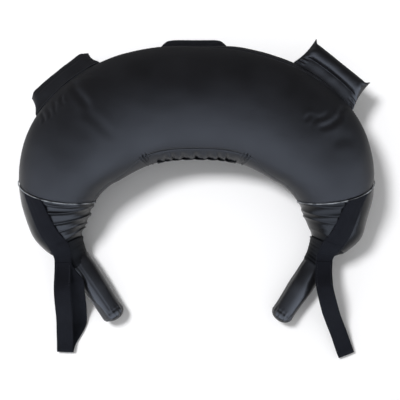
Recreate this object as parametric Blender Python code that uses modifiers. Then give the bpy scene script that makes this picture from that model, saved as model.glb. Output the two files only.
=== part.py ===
"""A bulgarian training bag lying on its back.

A leather crescent, packed with sand and wool, narrows at both horns to a wrapped neck. Each neck holds a
padded handle and a webbing loop. The crown carries a webbing handle and, on each shoulder, a padded grip.

Metres, +Z up. The crescent lies in the XY plane with its crown towards +Y and its front panel facing up.
The origin is on the floor, on the plane of symmetry, under the middle of the crown's section.
"""

import math

import bmesh
import bpy
from mathutils import Matrix, Vector

# The crescent
half_span = 0.352
horn_drop = 0.300
crown_half_width = 0.1108
crown_half_depth = 0.085
neck_lift = 0.0058

# The spine from the middle of the crown to the end of the neck, chosen by hand: shares of the half span, the
# horn drop, the crown's half width, its half depth, and the neck's lift off the floor.
spine_shares = (
    (0.000, 0.000, 1.000, 1.00, 0.0),
    (0.200, 0.010, 1.010, 1.00, 0.0),
    (0.390, 0.068, 1.010, 1.00, 0.0),
    (0.545, 0.170, 0.985, 1.00, 0.0),
    (0.668, 0.300, 0.925, 0.99, 0.0),
    (0.742, 0.440, 0.825, 0.96, 0.0),
    (0.780, 0.585, 0.708, 0.88, 0.0),
    (0.789, 0.725, 0.598, 0.76, 0.0),
    (0.782, 0.845, 0.485, 0.62, 0.4),
    (0.757, 0.935, 0.352, 0.46, 1.0),
    (0.716, 1.018, 0.240, 0.30, 1.0),
    (0.691, 1.064, 0.207, 0.27, 1.0),
    (0.677, 1.088, 0.205, 0.27, 1.0),
)
rows_between_shares = 8

# Below its middle each section is drawn this much deeper, and the floor presses the rest flat.
sag_share = 1.12

# Sheet goods, and the room left where pieces meet
leather = 0.0016
canvas = 0.0008
webbing = 0.0024
webbing_width = 0.0335
touch = 0.0003
seam_gap = 0.0011
curve_room = 0.0012

# Where the panels meet, round the section from its outer side over the front. The filling has rolled the
# cover, so the outer seam shows most to the right of the crown. The arch side's panel narrows past the slot.
front_edge_angle = 0
outer_sweep_angle = math.radians(60)
roll_angle = math.radians(26)
roll_run = 0.12
roll_reach = 0.23
inner_edge_angle = math.radians(150)
inner_drop_angle = math.radians(15)
inner_drop_run = 0.13
inner_drop_reach = 0.09
full_turn = 2 * math.pi

# The hem that joins the panels to the horns: its run along the spine on the outer side, how much further it
# lies on the arch side, and how far it bows towards the neck over the front and back
hem_run = 0.352
hem_lean = 0.016
hem_bow = 0.018
piping_radius = 0.0013
piping_sides = 1
hem_end_angle = math.radians(-42)

# The gathered sleeve between the hem and the neck, which stops short of the handle's pivot
sleeve_set_back = 0.020
fold_depth = 0.0028
folds = 5

# The wrap round the neck
wrap_start_run = 0.4650
wrap_wall = 0.0026
wrap_turns = 4
wrap_rib = 0.0010

# The gathered strip that closes the filling slot under the arch
closure_half_length = 0.098
closure_front_angle = math.radians(168)
closure_back_angle = math.radians(198)
scallops = 8
scallop_depth = math.radians(3.0)

# The strap on the front of each horn: its angle round the section at the hem and at the wrap
strap_hem_angle = math.radians(56)
strap_neck_angle = math.radians(78)

# The filling: how many of the liner's steps along the spine each half pouch, side pouch and wool wad takes
liner_end_run = 0.470
liner_half_steps = 12
centre_pouch_steps = 4
side_pouch_steps = 5
wool_steps = 2
pouch_gap = 0.0010

# The handles
handle_radius = 0.0225
handle_length = 0.142
handle_angle = math.radians(33.5)
handle_dip = 0.0035
handle_mouth_radius = 0.0090
handle_tip_share = 0.55

# The webbing loops
loop_length = 0.176
loop_root_overlap = 0.004
loop_level_share = 0.45
loop_seat = 0.0009
loop_sink_start_share = 0.2
loop_sink_length_share = 0.5
loop_fold_start_share = 0.93
loop_splay_start_share = 0.25
loop_look_ahead_share = 0.02
left_loop_root_angle = math.radians(50)
right_loop_root_angle = math.radians(62)
loop_spread = 0.030
loop_rest_height = 0.0040
loop_fold_radius = 0.0042
left_loop_splay = 0.022
right_loop_splay = 0.004

# Each loop's run on the floor plane, chosen by hand: shares of its length out and down from its root
left_loop_shares = ((0.00, 0.00), (0.07, 0.25), (0.07, 0.50), (0.05, 0.74), (0.03, 0.97))
right_loop_shares = ((0.00, 0.00), (0.025, 0.25), (0.08, 0.50), (0.17, 0.75), (0.275, 1.01))

# The webbing handle on the crown
top_half_run = 0.0715
top_end_width = 0.010
top_width = 0.0355
top_root_angle = math.radians(-28)
top_root_lift = 0.0043
top_rise = 0.0210
top_rise_share = 0.44
top_widen_share = 0.5
top_middle_tilt = math.radians(33)

# The padded grips on the shoulders
grip_run = 0.202
grip_half_length = 0.069
grip_root_half_run = 0.053
grip_stand = 0.0525
grip_roll_radius = 0.0180
grip_root_lift = 0.0026
grip_tail_past = 0.0017
grip_pinch_share = 0.60
grip_tail_share = 0.25
grip_join_angle = math.radians(144)
grip_core_share = 0.76
left_grip_tilt = math.radians(-61)
right_grip_tilt = math.radians(-12)

# How the filling and the roll lie inside: shares of the room left where sheets curve
liner_room_share = 2
fill_room_share = 2.4
wrap_room_share = 1.5

# How finely the forms are faceted, and the angle from which an edge is drawn sharp
sharp_angle = math.radians(50)
panel_steps = 24
ring_steps = 24
wrap_steps = 20
handle_steps = 16
liner_ring_steps = 12


def smooth(share):
    """0 to 1 with level ends."""
    share = min(max(share, 0), 1)
    return share * share * (3 - 2 * share)


def curve_through(before, here, there, after, share):
    """A point between two rows of values, on the smooth curve that runs through the rows around them."""
    t = share
    return [
        (2 * q + (r - p) * t + (2 * p - 5 * q + 4 * r - s) * t**2 + (3 * q - p - 3 * r + s) * t**3) / 2
        for p, q, r, s in zip(before, here, there, after)
    ]


def read_spine():
    """Rows of run, place, half width, half depth and lift, read from the shares on a smooth curve."""
    scales = (half_span, -horn_drop, crown_half_width, crown_half_depth, neck_lift)
    knots = [[share * scale for share, scale in zip(row, scales)] for row in spine_shares]
    before = [-knots[1][0]] + knots[1][1:]
    after = [2 * last - previous for last, previous in zip(knots[-1], knots[-2])]
    line = [before] + knots + [after]
    rows = []
    for four in zip(line, line[1:], line[2:], line[3:]):
        rows += [curve_through(*four, step / rows_between_shares) for step in range(rows_between_shares)]
    rows.append(knots[-1])
    run = 0
    spine = [(run, rows[0])]
    for previous, row in zip(rows, rows[1:]):
        run += math.dist(previous[:2], row[:2])
        spine.append((run, row))
    return spine


spine = read_spine()
spine_length = spine[-1][0]


def section(run):
    """The section at a run along the spine, negative towards the left horn: its centre, the way out from the
    arch, its half width, half depth and lift."""
    side = -1 if run < 0 else 1
    reach = min(abs(run), spine_length)
    index = max(i for i, (start, _) in enumerate(spine[:-1]) if start <= reach)
    (start, here), (end, there) = spine[index], spine[index + 1]
    share = (reach - start) / (end - start)
    x, y, half_width, half_depth, lift = (a + (b - a) * share for a, b in zip(here, there))
    ways = []
    for at in (index, index + 1):
        back = spine[at - 1][1] if at else [-spine[1][1][0], spine[1][1][1]]
        forth = spine[min(at + 1, len(spine) - 1)][1]
        ways.append(Vector((forth[0] - back[0], forth[1] - back[1])).normalized())
    way = ways[0].lerp(ways[1], share).normalized()
    return Vector((side * x, y, 0)), Vector((-side * way.y, way.x, 0)), half_width, half_depth, lift


def bag_point(run, angle, grow=0, floor=0):
    """A point on the bag: run goes along the spine, angle round the section from its outer side over its
    front, and grow moves it out."""
    centre, out, half_width, half_depth, lift = section(run)
    sag = 1 + (sag_share - 1) * (1 - lift / neck_lift)
    rise = math.sin(angle) * (sag if math.sin(angle) < 0 else 1)
    place = centre + out * (half_width + grow) * math.cos(angle)
    place.z = max(floor, lift + half_depth + (half_depth + grow) * rise)
    return place


def front_edge(run):
    """Where the front panel meets the outer gusset, round the section at a run along the spine."""
    return front_edge_angle + roll_angle * smooth(1 - abs(run - roll_run) / roll_reach)


def inner_edge(run):
    """Where the front panel meets the inner gusset, round the section at a run along the spine."""
    return inner_edge_angle + inner_drop_angle * smooth((abs(run) - inner_drop_run) / inner_drop_reach)


def hem_at(angle):
    """The hem's run along the spine at an angle round the section."""
    return hem_run + hem_lean * (1 - math.cos(angle)) / 2 + hem_bow * abs(math.sin(angle))


def sleeve_end():
    """The run where the sleeve stops, inside the wrap."""
    return pivot_run - sleeve_set_back


def horn(side):
    """A horn's last stretch, straight from the neck to the handle: its pivot and its way."""
    way = Vector((-side * math.sin(handle_angle), -math.cos(handle_angle), 0))
    centre, _, _, half_depth, lift = section(side * pivot_run)
    return centre + Vector((0, 0, half_depth + lift)), way


pivot_run = spine[-1 - rows_between_shares][0]


# Scene helpers


def linear(hex_colour):
    """An sRGB hex colour as linear RGBA."""
    channels = [int(hex_colour[i : i + 2], 16) / 255 for i in (1, 3, 5)]
    return [c / 12.92 if c <= 0.04045 else ((c + 0.055) / 1.055) ** 2.4 for c in channels] + [1]


def material(name, colour, roughness):
    made = bpy.data.materials.new(name)
    made.use_nodes = True
    shader = made.node_tree.nodes["Principled BSDF"]
    shader.inputs["Base Color"].default_value = linear(colour)
    shader.inputs["Roughness"].default_value = roughness
    shader.inputs["Metallic"].default_value = 0
    made.diffuse_color = linear(colour)
    return made


def pivot(name, place, parent=None):
    """An empty on a joint's axis, which the moving pieces hang from."""
    empty = bpy.data.objects.new(name, None)
    parts.objects.link(empty)
    empty.location = place
    if parent:
        empty.parent = parent
        empty.location = place - world_place(parent)
    return empty


def world_place(empty):
    """Where an empty stands, under any parents, none of which is turned."""
    place = empty.location.copy()
    while empty.parent:
        empty = empty.parent
        place += empty.location
    return place


def add(name, bm, finish, parent=None):
    """The bmesh as an object. Its points are in world space: a moving piece's are taken from its pivot."""
    if parent:
        bmesh.ops.translate(bm, verts=bm.verts, vec=-world_place(parent))
    mesh = bpy.data.meshes.new(name)
    bm.to_mesh(mesh)
    bm.free()
    mesh.materials.append(finish)
    mesh.shade_smooth()
    mesh.set_sharp_from_angle(angle=sharp_angle)
    made = bpy.data.objects.new(name, mesh)
    made.parent = parent
    parts.objects.link(made)
    return made


def mapped(steps_along, steps_across, place, closed=False):
    """A grid laid on a form: place gives the point for shares 0 to 1 along and across it. Closed joins the
    two long sides into a tube."""
    bm = bmesh.new()
    bmesh.ops.create_grid(bm, x_segments=steps_along, y_segments=steps_across, size=0.5)
    for vert in bm.verts:
        vert.co = place(vert.co.x + 0.5, vert.co.y + 0.5)
    if closed:
        bmesh.ops.remove_doubles(bm, verts=bm.verts, dist=touch / 10)
    return bm


def thicken(made, wall, lie=-1):
    """Gives a surface an even wall, behind it, or half on each side where lie is 0."""
    thick = made.modifiers.new("Wall", "SOLIDIFY")
    thick.thickness = wall
    thick.offset = lie
    thick.use_even_offset = True


def sheet(name, steps, place, wall, finish, flip=False, closed=False, parent=None, lie=-1):
    """A sheet of an even thickness on a grid of so many steps each way. Flip turns its face round."""
    bm = mapped(*steps, place, closed)
    if flip:
        bmesh.ops.reverse_faces(bm, faces=bm.faces)
    thicken(add(name, bm, finish, parent), wall, lie)


def filled(name, steps_along, steps_round, place, finish, parent=None):
    """A closed solid: a tube laid on a form, with both ends filled."""
    bm = mapped(steps_along, steps_round, place, closed=True)
    bmesh.ops.holes_fill(bm, edges=[edge for edge in bm.edges if edge.is_boundary], sides=0)
    bmesh.ops.recalc_face_normals(bm, faces=bm.faces)
    return add(name, bm, finish, parent)


# The cover


def panel(name, edges, finish):
    """A panel of the cover, from hem to hem. Edges gives its two angles round the section at a run."""
    widest = max(to_angle - from_angle for from_angle, to_angle in (edges(hem_run), edges(roll_run)))
    steps_across = round(widest / full_turn * ring_steps)

    def place(along, across):
        near = (2 * along - 1) * hem_run
        from_angle, to_angle = edges(near)
        angle = from_angle + (to_angle - from_angle) * across
        _, _, half_width, half_depth, _ = section(near)
        trim = seam_gap / 2 / math.hypot(half_width * math.sin(angle), half_depth * math.cos(angle))
        angle += trim if across == 0 else -trim if across == 1 else 0
        run = (2 * along - 1) * (hem_at(angle) - seam_gap / 2)
        return bag_point(run, angle)

    sheet(name, (panel_steps, steps_across), place, leather, finish, flip=True)


def make_cover(finish):
    """The four panels round the filling. Each starts where the one before it ends."""

    def front(run):
        return front_edge(run), inner_edge(run)

    def inner(run):
        return inner_edge(run), full_turn - inner_edge(run)

    def back(run):
        return full_turn - inner_edge(run), full_turn + front_edge(run) - outer_sweep_angle

    def outer(run):
        return front_edge(run) - outer_sweep_angle, front_edge(run)

    panel("front_panel", front, finish)
    panel("inner_gusset", inner, finish)
    panel("back_panel", back, finish)
    panel("outer_gusset", outer, finish)


def make_closure(finish):
    """The strip over the filling slot, with a gathered front edge."""

    def place(along, across):
        edge = scallop_depth * abs(math.sin(math.pi * scallops * along)) * (1 - across)
        angle = closure_front_angle - edge + (closure_back_angle - closure_front_angle) * across
        return bag_point((2 * along - 1) * closure_half_length, angle, grow=leather + curve_room)

    sheet("closure_strip", (4 * scallops, 3), place, leather, finish, flip=True)


def make_horn_cover(side, name, finish, trim, cloth):
    """The gathered sleeve of one horn, the piping on its hem and the strap down its front."""

    def sleeve(along, across):
        angle = full_turn * across
        start = hem_at(angle) + seam_gap / 2
        run = start + (sleeve_end() - start) * along
        over_front = max(0, math.sin(angle)) * math.sin(math.pi * along)
        gather = fold_depth * over_front * (math.cos(full_turn * folds * along + 2 * angle) - 1) / 2
        return bag_point(side * run, angle, grow=gather)

    sheet(name + "_end_panel", (2 * folds, ring_steps), sleeve, leather, finish, side > 0, closed=True)

    def strap(along, across):
        start = hem_at(strap_hem_angle) + piping_radius * 4
        run = start + (wrap_start_run - touch * 3 - start) * along
        middle = strap_hem_angle + (strap_neck_angle - strap_hem_angle) * along
        _, _, half_width, half_depth, _ = section(run)
        girth = math.hypot(half_width * math.sin(middle), half_depth * math.cos(middle))
        angle = middle + (across - 0.5) * webbing_width / girth
        return bag_point(side * run, angle, grow=curve_room + touch + webbing)

    sheet(name + "_side_strap", (8, 4), strap, webbing, cloth, side > 0)
    make_piping(side, name + "_hem", trim)


def make_piping(side, name, finish):
    """The raised hem, a cord in leather that lies over the seam down to where the bag meets the floor."""
    sweep = math.pi - 2 * hem_end_angle
    points = []
    for step in range(ring_steps + 1):
        angle = hem_end_angle + sweep * step / ring_steps
        points.append(bag_point(side * hem_at(angle), angle, grow=piping_radius + touch * 2))
    curve = bpy.data.curves.new(name, "CURVE")
    curve.dimensions = "3D"
    curve.bevel_depth = piping_radius
    curve.bevel_resolution = piping_sides
    curve.use_fill_caps = True
    line = curve.splines.new("POLY")
    line.points.add(len(points) - 1)
    for point, place in zip(line.points, points):
        point.co = (*place, 1)
    curve.materials.append(finish)
    parts.objects.link(bpy.data.objects.new(name, curve))


def make_filling(canvas_finish, sand_finish, wool_finish):
    """The canvas liner, open at its tied ends, and what it holds: sand in the middle, wool in the horns."""
    liner_inset = leather + curve_room * liner_room_share
    liner_floor = leather + touch
    fill_inset = canvas + curve_room * fill_room_share
    fill_floor = liner_floor + canvas + touch * 2

    def inside(run):
        """How far the liner lies inside the cover: deeper in the horns, under their folds."""
        return liner_inset + fold_depth * smooth((abs(run) - hem_run) / hem_bow)

    def liner(along, across):
        run = (2 * along - 1) * liner_end_run
        return bag_point(run, full_turn * across, grow=-inside(run), floor=liner_floor)

    steps = (2 * liner_half_steps, liner_ring_steps)
    sheet("inner_liner", steps, liner, canvas, canvas_finish, flip=True, closed=True)
    step = liner_end_run / liner_half_steps

    def stretch(name, side, first, last, finish):
        """A bag of filling between two of the liner's steps, so that their faces lie parallel."""

        def place(along, across):
            run = side * step * (first + (last - first) * along)
            run += side * pouch_gap / 2 if along == 0 else -side * pouch_gap / 2 if along == 1 else 0
            return bag_point(run, full_turn * across, grow=-inside(run) - fill_inset, floor=fill_floor)

        filled(name, last - first, liner_ring_steps, place, finish)

    wool_start = centre_pouch_steps + side_pouch_steps
    stretch("centre_sand_pouch", 1, -centre_pouch_steps, centre_pouch_steps, sand_finish)
    for side, name in ((-1, "left"), (1, "right")):
        stretch(name + "_sand_pouch", side, centre_pouch_steps, wool_start, sand_finish)
        stretch(name + "_wool_packing", side, wool_start, wool_start + wool_steps, wool_finish)


# The necks, handles and loops


def make_neck(side, name, finish, hinge):
    """The wrap round the neck: it grips the end of the sleeve and the root of the handle."""

    def place(along, across):
        run = wrap_start_run + (spine_length - wrap_start_run) * along
        rib = wrap_rib * (1 - math.cos(full_turn * wrap_turns * along)) / 2
        return bag_point(side * run, full_turn * across, grow=wrap_grow(run) - wrap_rib + rib)

    sheet(name + "_neck_wrap", (2 * wrap_turns, wrap_steps), place, wrap_wall, finish, side > 0, True, hinge)


def turned(profile, place, way, steps):
    """A profile of (run, radius) rows turned about the way from a place."""
    bm = bmesh.new()
    verts = [bm.verts.new((radius, 0, run)) for run, radius in profile]
    for pair in zip(verts, verts[1:]):
        bm.edges.new(pair)
    turn = Vector((0, 0, 1)).rotation_difference(way).to_matrix().to_4x4()
    bmesh.ops.spin(
        bm, geom=bm.verts[:] + bm.edges[:], axis=(0, 0, 1), cent=(0, 0, 0), angle=full_turn, steps=steps,
        use_merge=True,
    )
    bmesh.ops.remove_doubles(bm, verts=bm.verts, dist=touch / 10)
    bmesh.ops.transform(bm, matrix=Matrix.Translation(place) @ turn, verts=bm.verts)
    return bm


def capsule(radius, length, tip_share, root_radius, steps):
    """Rows of (run, radius): a round root about the pivot, a straight middle and a blunt round tip."""
    start = math.asin(root_radius / radius)
    rows = []
    for step in range(steps + 1):
        angle = start + (math.pi / 2 - start) * step / steps
        rows.append((-radius * math.cos(angle), radius * math.sin(angle)))
    for step in range(steps + 1):
        angle = math.pi / 2 * (1 - step / steps)
        run = length - radius * tip_share * (1 - math.cos(angle))
        rows.append((run, radius * math.sin(angle)))
    return rows


def make_handle(side, name, cover_finish, core_finish, hinge):
    """A leather tube over a packed core, straight on from the neck, resting on the floor at its tip."""
    start, way = horn(side)
    way = (way * handle_length - Vector((0, 0, handle_dip))).normalized()
    rows = capsule(handle_radius, handle_length, handle_tip_share, handle_mouth_radius, 4)
    bm = turned(rows, start, way, handle_steps)
    bmesh.ops.recalc_face_normals(bm, faces=bm.faces)
    thicken(add(name + "_handle_cover", bm, cover_finish, hinge), leather)
    inset = leather + touch * 2
    reach = handle_length - inset
    rows = capsule(handle_radius - inset, reach, handle_tip_share, handle_mouth_radius, 3)
    bm = turned(rows, start, way, handle_steps)
    bmesh.ops.holes_fill(bm, edges=[edge for edge in bm.edges if edge.is_boundary], sides=0)
    bmesh.ops.recalc_face_normals(bm, faces=bm.faces)
    add(name + "_handle_core", bm, core_finish, hinge)


def wrap_grow(run):
    """How far the wrap's ribs stand off the neck."""
    along = (run - wrap_start_run) / (spine_length - wrap_start_run)
    return curve_room * (wrap_room_share - along) + wrap_wall + wrap_rib


def loop_root(side):
    """Where a loop is sewn to the outer front of the wrap, and the way across its lower ply."""
    angle = left_loop_root_angle if side < 0 else right_loop_root_angle
    run = spine_length - loop_root_overlap
    place = bag_point(side * run, angle, grow=wrap_grow(run) + loop_seat)
    _, out, half_width, half_depth, _ = section(side * run)
    across = out * half_width * math.sin(angle) - Vector((0, 0, half_depth * math.cos(angle)))
    return place, across.normalized()


def make_loop(side, name, finish, hinge):
    """One webbing strap, out from the wrap over the handle's root, folded at its far end and back below."""
    shares = left_loop_shares if side < 0 else right_loop_shares
    splay = left_loop_splay if side < 0 else right_loop_splay
    root, root_across = loop_root(side)
    ply_gap = (webbing + touch) / root_across.xy.length

    first = [2 * a - b for a, b in zip(shares[0], shares[1])]
    last = [2 * a - b for a, b in zip(shares[-1], shares[-2])]
    line = [first, *shares, last]

    def run_point(share):
        """Where the strap runs on the floor plane, from its root, at a share of its length."""
        spans = len(shares) - 1
        step = min(int(share * spans), spans - 1)
        across, down = curve_through(*line[step : step + 4], share * spans - step)
        return Vector((side * across * loop_length, -down * loop_length, 0))

    def heights(share):
        """The front and back plies above the root: together there, then spread, and low at the fold."""
        gap = ply_gap + (loop_fold_radius * 2 - ply_gap) * smooth(share)
        gap += loop_spread * math.sin(math.pi * share) ** 2
        low = (loop_rest_height - root.z) * smooth((share - loop_sink_start_share) / loop_sink_length_share)
        return low + gap, low

    def place(along, across):
        share = math.sin(math.pi / 2 * min(2 * along, 2 - 2 * along))
        back = along > 0.5
        turn = smooth((share - loop_fold_start_share) / (1 - loop_fold_start_share))
        upper, lower = heights(share)
        middle = (upper + lower) / 2
        height = middle + (upper - lower) / 2 * math.sqrt(max(0, 1 - turn**2)) * (-1 if back else 1)
        past = (share - loop_splay_start_share) / (1 - loop_splay_start_share)
        inward = -side * splay * math.sin(math.pi * smooth(past)) if back else 0
        here = run_point(share)
        look = loop_look_ahead_share
        ahead = run_point(min(share + look, 1)) - run_point(max(share - look, 0))
        level = Vector((-ahead.y, ahead.x, 0)).normalized()
        start = root_across if level.dot(root_across) > 0 else -root_across
        rolled = start.lerp(level, smooth(share / loop_level_share))
        wide = rolled.normalized() * webbing_width
        return root + here + wide * (across - 0.5) + Vector((inward, 0, height))

    sheet(name + "_hand_loop", (40, 2), place, webbing, finish, parent=hinge, lie=0)


# The crown's handle and grips


def top_root():
    """The line that the crown's handle turns about."""
    return bag_point(0, top_root_angle, grow=top_root_lift)


def make_top_handle(finish, hinge):
    """A webbing strap along the crown: narrow at its sewn ends, wide and tilted in the middle, and arched."""

    def place(along, across):
        reach = 2 * along - 1
        inner = smooth((1 - abs(reach)) / top_rise_share)
        width = top_end_width + (top_width - top_end_width) * smooth((1 - abs(reach)) / top_widen_share)
        lay = Vector((0, -math.sin(top_middle_tilt), math.cos(top_middle_tilt)))
        foot = bag_point(reach * top_half_run, top_root_angle, grow=top_root_lift)
        return foot + Vector((0, top_rise * inner, 0)) + lay * width * (across - 0.5)

    sheet("top_handle", (20, 3), place, webbing, finish, parent=hinge, lie=0)


def grip_frame(side):
    """The middle of a grip's root on the shoulder, the way along it, out from the bag and off its face."""
    tilt = left_grip_tilt if side < 0 else right_grip_tilt
    half = grip_root_half_run / 2
    along = (bag_point(side * grip_run + half, 0) - bag_point(side * grip_run - half, 0)).normalized()
    out = Vector((-along.y, along.x, 0))
    root = bag_point(side * grip_run, 0) + out * grip_root_lift
    stand = out * math.cos(tilt) + Vector((0, 0, math.sin(tilt)))
    return root, along, stand, stand.cross(along)


def make_grip(side, name, cover_finish, core_finish, hinge):
    """A sheet of leather folded round a foam roll, pinched flat at both ends. Its root follows the bag."""
    root, along_way, stand, off = grip_frame(side)
    roll_middle = grip_stand - grip_roll_radius
    ply = leather + touch

    def swell(reach):
        """How full the roll is at a reach along the grip: full in the middle, none at its pinched ends."""
        return math.sqrt(max(0, 1 - smooth((abs(reach) - grip_pinch_share) / (1 - grip_pinch_share)) ** 2))

    def fold(reach, across, radius):
        """The folded sheet's section at a reach along the grip: out and off its middle plane."""
        thick = ply + (radius - ply) * swell(reach)
        edge = min(across, 1 - across)
        if edge < grip_tail_share:
            tail = edge / grip_tail_share
            lift = ply + (thick * math.sin(grip_join_angle) - ply) * smooth(tail)
            joined = roll_middle + radius * math.cos(grip_join_angle)
            return (joined + grip_tail_past) * tail - grip_tail_past, lift if across == edge else -lift
        angle = grip_join_angle * (1 - (across - grip_tail_share) / (1 / 2 - grip_tail_share))
        return roll_middle + radius * math.cos(angle), thick * math.sin(angle)

    def on_grip(reach, out, lift):
        """A point at a reach along the grip, so far out from its root and so far off its middle plane."""
        run = side * grip_run + grip_root_half_run * reach
        _, way_out, _, _, _ = section(run)
        foot = bag_point(run, 0) + way_out * grip_root_lift
        edge = root + along_way * grip_half_length * reach + stand * grip_stand
        return foot + (edge - foot) * (out / grip_stand) + off * lift

    def cover(along, across):
        reach = 2 * along - 1
        return on_grip(reach, *fold(reach, across, grip_roll_radius))

    sheet(name + "_grip_cover", (10, 16), cover, leather, cover_finish, flip=True, parent=hinge)

    def core(along, across):
        reach = (2 * along - 1) * grip_core_share
        inset = leather + curve_room
        thick = ply + (grip_roll_radius - ply) * swell(reach) - inset
        wide = (grip_roll_radius - inset) * math.sqrt(thick / (grip_roll_radius - inset))
        angle = full_turn * across
        return on_grip(reach, roll_middle + wide * math.cos(angle), thick * math.sin(angle))

    filled(name + "_grip_core", 8, 10, core, core_finish, parent=hinge)


# The bag

for old in list(bpy.data.objects):
    bpy.data.objects.remove(old)
parts = bpy.data.collections.new("bulgarian_bag")
bpy.context.scene.collection.children.link(parts)

black_leather = material("Black PU leather", "#141519", 0.42)
piping_leather = material("Leather piping", "#1b1c20", 0.38)
black_webbing = material("Black webbing", "#101013", 0.85)
liner_canvas = material("Canvas", "#b9ab8c", 0.95)
sand = material("Bagged sand", "#a08a62", 0.95)
wool = material("Wool packing", "#cfc6b4", 1.0)
foam = material("Foam", "#3a3a3c", 0.95)

make_cover(black_leather)
make_closure(black_leather)
make_filling(liner_canvas, sand, wool)
for side, name in ((-1, "left"), (1, "right")):
    make_horn_cover(side, name, black_leather, piping_leather, black_webbing)
    swing = pivot(name + "_neck_pivot", horn(side)[0])
    make_neck(side, name, black_leather, swing)
    flex = pivot(name + "_handle_pivot", horn(side)[0], swing)
    make_handle(side, name, black_leather, foam, flex)
    lift = pivot(name + "_loop_pivot", loop_root(side)[0], flex)
    make_loop(side, name, black_webbing, lift)
    fold = pivot(name + "_grip_pivot", grip_frame(side)[0])
    make_grip(side, name, black_leather, foam, fold)
make_top_handle(black_webbing, pivot("top_handle_pivot", top_root()))
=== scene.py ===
"""The finished bulgarian bag: sewn, gathered and filled leather with nylon webbing, dressed over its solids.

The bag lies on its back, crown towards +Y and front panel up, in metres. Each visible piece is laid on the
same form as the solids, finely enough to take its seams, gathers and creases. The cover, the closure strip,
the hems, the handles, the grips, the crown handle and the seam and hem stitches ride on their own bodies.
"""

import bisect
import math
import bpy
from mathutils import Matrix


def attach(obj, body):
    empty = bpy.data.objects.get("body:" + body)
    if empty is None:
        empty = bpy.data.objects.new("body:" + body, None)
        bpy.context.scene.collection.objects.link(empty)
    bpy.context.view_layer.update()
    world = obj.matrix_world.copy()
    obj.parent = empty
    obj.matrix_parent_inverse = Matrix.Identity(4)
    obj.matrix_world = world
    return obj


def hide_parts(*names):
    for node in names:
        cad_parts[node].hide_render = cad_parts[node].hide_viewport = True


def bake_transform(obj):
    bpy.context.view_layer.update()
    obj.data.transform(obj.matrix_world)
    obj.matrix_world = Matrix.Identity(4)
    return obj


bl_info = {
    "name": "Bulgarian Bag",
    "version": (1, 0, 0),
    "blender": (4, 5, 0),
    "location": "3D View > Sidebar > Bag",
    "description": "Makes a sewn leather training bag with its straps, handles and grips",
    "category": "Add Mesh",
}

import bmesh
import bpy
from mathutils import Matrix, Vector, noise

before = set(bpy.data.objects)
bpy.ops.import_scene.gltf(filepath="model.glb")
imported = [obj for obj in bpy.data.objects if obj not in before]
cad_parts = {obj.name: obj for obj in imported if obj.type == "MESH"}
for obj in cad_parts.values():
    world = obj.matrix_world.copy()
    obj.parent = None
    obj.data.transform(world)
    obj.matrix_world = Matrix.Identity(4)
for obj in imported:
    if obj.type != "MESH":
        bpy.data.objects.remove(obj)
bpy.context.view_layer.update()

MM = 0.001
FULL_TURN = 2 * math.pi

# Room left between sheets, and half the gap at a seam
CLEARANCE = 0.0003
HALF_SEAM_GAP = 0.0005

# How far the cover's relief and the sleeves' folds may stand out, and how deep the folds may go
RELIEF_CAP = 0.0035
FOLD_CAP = 0.0024
FOLD_FLOOR = -0.0020

# The bag's form, as the solids have it: the crescent's reach, its section and its neck
HALF_SPAN = 0.352
HORN_DROP = 0.300
CROWN_HALF_WIDTH = 0.1108
CROWN_HALF_DEPTH = 0.085
NECK_LIFT = 0.0058
SAG_SHARE = 1.12

# Shares of the half span, horn drop, half width, half depth and lift, from the crown's middle to the neck
SPINE_SHARES = (
    (0.000, 0.000, 1.000, 1.00, 0.0),
    (0.200, 0.010, 1.010, 1.00, 0.0),
    (0.390, 0.068, 1.010, 1.00, 0.0),
    (0.545, 0.170, 0.985, 1.00, 0.0),
    (0.668, 0.300, 0.925, 0.99, 0.0),
    (0.742, 0.440, 0.825, 0.96, 0.0),
    (0.780, 0.585, 0.708, 0.88, 0.0),
    (0.789, 0.725, 0.598, 0.76, 0.0),
    (0.782, 0.845, 0.485, 0.62, 0.4),
    (0.757, 0.935, 0.352, 0.46, 1.0),
    (0.716, 1.018, 0.240, 0.30, 1.0),
    (0.691, 1.064, 0.207, 0.27, 1.0),
    (0.677, 1.088, 0.205, 0.27, 1.0),
)
ROWS_BETWEEN_SHARES = 8

# Where the cover's panels meet, round the section from its outer side over the front. The filling has rolled
# the cover, so the outer seam shows most right of the crown. The arch side's panel narrows past the slot.
OUTER_SWEEP = math.radians(60)
ROLL = math.radians(26)
ROLL_RUN = 0.12
ROLL_REACH = 0.23
INNER_EDGE = math.radians(148)
INNER_DROP = math.radians(15)
INNER_DROP_RUN = 0.13
INNER_DROP_REACH = 0.09

# The hem that joins the panels to the horns
HEM_RUN = 0.352
HEM_LEAN = 0.016
HEM_BOW = 0.018
HEM_END = math.radians(-42)

# The sleeve, the wrap and the strap on each horn. A crossing leads on from the strap's free end to the loop,
# split in two where the handle's swing has ended and its flex begins
SLEEVE_END = 0.4800
WRAP_START = 0.4650
WRAP_WALL = 0.0024
STRAP_HEM_ANGLE = {-1: math.radians(57), 1: math.radians(60)}
STRAP_NECK_ANGLE = {-1: math.radians(82), 1: math.radians(86)}
STRAP_TURN = {-1: 0.85, 1: 0.6}
STRAP_SPLIT = 0.474
STRAP_FREE = 0.86
STRAP_LENGTH = 0.11
CROSSING_SPLIT = 0.68

# Distances before the pivot: where the stretch meant for the handle's swing starts, where the one for its
# flex starts, and where that ends
SWING_START = 0.033
FLEX_START = 0.025
FLEX_END = 0.0155

# How much each horn's outer side is filled above the neck and drawn in at it, and at which runs
NECK_FULL_RUN = 0.438
NECK_DRAWN_RUN = 0.462
NECK_TRIM = {-1: (0.0010, 0.0045), 1: (0.0045, 0.0095)}

# The gathered strip under the arch
CLOSURE_HALF_LENGTH = 0.106
CLOSURE_FRONT = math.radians(177)
CLOSURE_BACK = math.radians(198)
SCALLOPS = 8

# How far the rows of stitches run from a seam and from a hem
SEAM_STITCH = 0.0045
HEM_STITCH = 0.0050

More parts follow.
